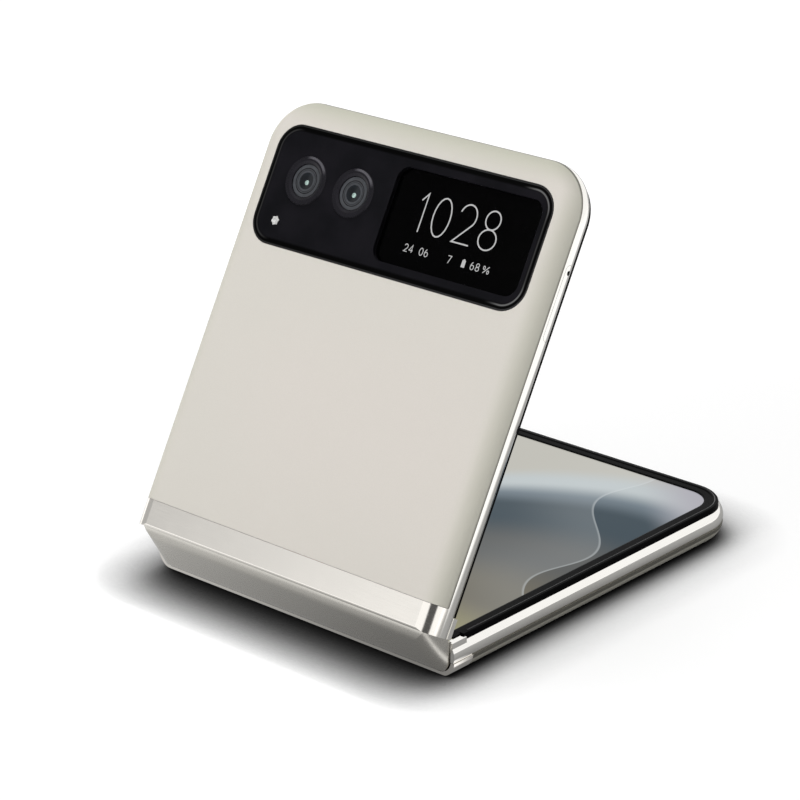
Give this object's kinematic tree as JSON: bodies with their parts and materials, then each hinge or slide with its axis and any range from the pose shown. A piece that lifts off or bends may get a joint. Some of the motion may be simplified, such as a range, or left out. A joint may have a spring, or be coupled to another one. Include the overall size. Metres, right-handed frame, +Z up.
{
  "type": "foldable smartphone",
  "caption": "Clamshell phone that folds on a geared hinge, with a flexible inner display, a cream cover and a wide outer glass window, standing half open.",
  "frame": {"origin": "point of the table under the lower hinge axis, at mid width, on the lower half's outer face", "axes": "+X along the hinge toward the card tray side, +Y along the lower half away from the hinge, +Z up"},
  "size_m": [0.0743, 0.0916, 0.0843],
  "materials": {
    "frame_metal": "polished champagne metal",
    "band_plastic": "satin moulded plastic",
    "cover_leather": "fine smooth cream leatherette",
    "bezel_plastic": "black with a soft gloss",
    "inner_display": "flexible display film, soft bands of grey blue and olive",
    "hinge_steel": "plain steel",
    "hinge_casting": "sintered grey",
    "gear_brass": "machined",
    "battery_foil": "dark pouch foil",
    "board_green": "solder mask",
    "black_part": "black moulded",
    "gold_part": "gold plated",
    "flex_orange": "amber film",
    "outer_window": "black tinted glass",
    "outer_screen": "unlit black with lit digits",
    "lens_ring": "dark satin",
    "lens_glass": "coated lens glass",
    "flash_clear": "milky yellow lens",
    "power_metal": "dark satin with a sensor face"
  },
  "bodies": {
    "lower": {"lower_frame": "frame_metal", "lower_bands": "band_plastic", "lower_cover": "cover_leather", "lower_strip": "frame_metal", "lower_bezel": "bezel_plastic", "lower_panel": "inner_display", "lower_plate": "hinge_steel", "lower_bracket": "hinge_steel", "lower_battery": "battery_foil", "lower_board": "board_green", "usb_socket": "hinge_steel", "loudspeaker": "black_part", "vibration_motor": "hinge_steel", "lower_microphone": "gold_part", "lower_screws": "hinge_steel"},
    "spine": {"spine": "frame_metal", "hinge_base": "hinge_casting", "fold_rest": "hinge_steel", "torque_clips": "hinge_steel", "spine_screws": "hinge_steel", "hinge_flex": "flex_orange", "fold_panel": "inner_display"},
    "upper": {"upper_frame": "frame_metal", "upper_bands": "band_plastic", "upper_cover": "cover_leather", "upper_strip": "frame_metal", "upper_bezel": "bezel_plastic", "upper_panel": "inner_display", "upper_plate": "hinge_steel", "upper_bracket": "hinge_steel", "upper_battery": "battery_foil", "upper_board": "board_green", "board_shield": "hinge_steel", "upper_screws": "hinge_steel", "outer_glass": "outer_window", "outer_display": "outer_screen", "lens_rings": "lens_ring", "lens_glass": "lens_glass", "flash_lens": "flash_clear", "flash_board": "board_green", "main_camera": "black_part", "wide_camera": "black_part", "front_camera": "black_part", "earpiece": "black_part", "earpiece_mesh": "black_part", "key_switches": "flex_orange", "sim_socket": "hinge_steel"},
    "lower_pinion": {"lower_pinion": "gear_brass"},
    "upper_pinion": {"upper_pinion": "gear_brass"},
    "lower_idler": {"lower_idler": "gear_brass"},
    "upper_idler": {"upper_idler": "gear_brass"},
    "volume_key": {"volume_key": "frame_metal"},
    "power_key": {"power_key": "power_metal"},
    "sim_tray": {"sim_tray": "frame_metal", "sim_card": "gold_part"}
  },
  "joints": [
    {"name": "fold_lower", "type": "hinge", "parent": "lower", "child": "spine", "pos_m": [0, 0, 0.0069], "axis": [1, 0, 0], "range_deg": [-30.3, 59.7], "deforming": ["fold_panel", "hinge_flex"]},
    {"name": "fold_upper", "type": "hinge", "parent": "spine", "child": "upper", "pos_m": [0, -0.00101, 0.00863], "axis": [1, 0, 0], "range_deg": [-30.3, 59.7]},
    {"name": "lower_pinion_turn", "type": "hinge", "parent": "spine", "child": "lower_pinion", "pos_m": [0, -0.00129, 0.00464], "axis": [1, 0, 0], "range_deg": [-232.3, 118]},
    {"name": "upper_pinion_turn", "type": "hinge", "parent": "spine", "child": "upper_pinion", "pos_m": [0, -0.00361, 0.00861], "axis": [1, 0, 0], "range_deg": [-118, 232.3]},
    {"name": "lower_idler_turn", "type": "hinge", "parent": "spine", "child": "lower_idler", "pos_m": [0, -0.0021, 0.00602], "axis": [1, 0, 0], "range_deg": [-151.7, 298.7]},
    {"name": "upper_idler_turn", "type": "hinge", "parent": "spine", "child": "upper_idler", "pos_m": [0, -0.0028, 0.00723], "axis": [1, 0, 0], "range_deg": [-298.7, 151.7]},
    {"name": "volume_rock", "type": "hinge", "parent": "upper", "child": "volume_key", "pos_m": [-0.03488, 0.02653, 0.06198], "axis": [0, -0.8712, 0.4909], "range_deg": [-1, 1], "stiffness_Nm_per_rad": 0.34},
    {"name": "power_press", "type": "slide", "parent": "upper", "child": "power_key", "axis": [1, 0, 0], "range_m": [0, 0.00025], "stiffness_N_per_m": 4000},
    {"name": "tray_slide", "type": "slide", "parent": "upper", "child": "sim_tray", "axis": [1, 0, 0], "range_m": [0, 0.0165]}
  ],
  "couplings": [
    {"joint": "fold_upper", "follows": "fold_lower", "ratio": 1},
    {"joint": "lower_pinion_turn", "follows": "fold_lower", "ratio": -3.8889},
    {"joint": "upper_pinion_turn", "follows": "fold_lower", "ratio": 3.8889},
    {"joint": "lower_idler_turn", "follows": "fold_lower", "ratio": 5},
    {"joint": "upper_idler_turn", "follows": "fold_lower", "ratio": -5}
  ]
}
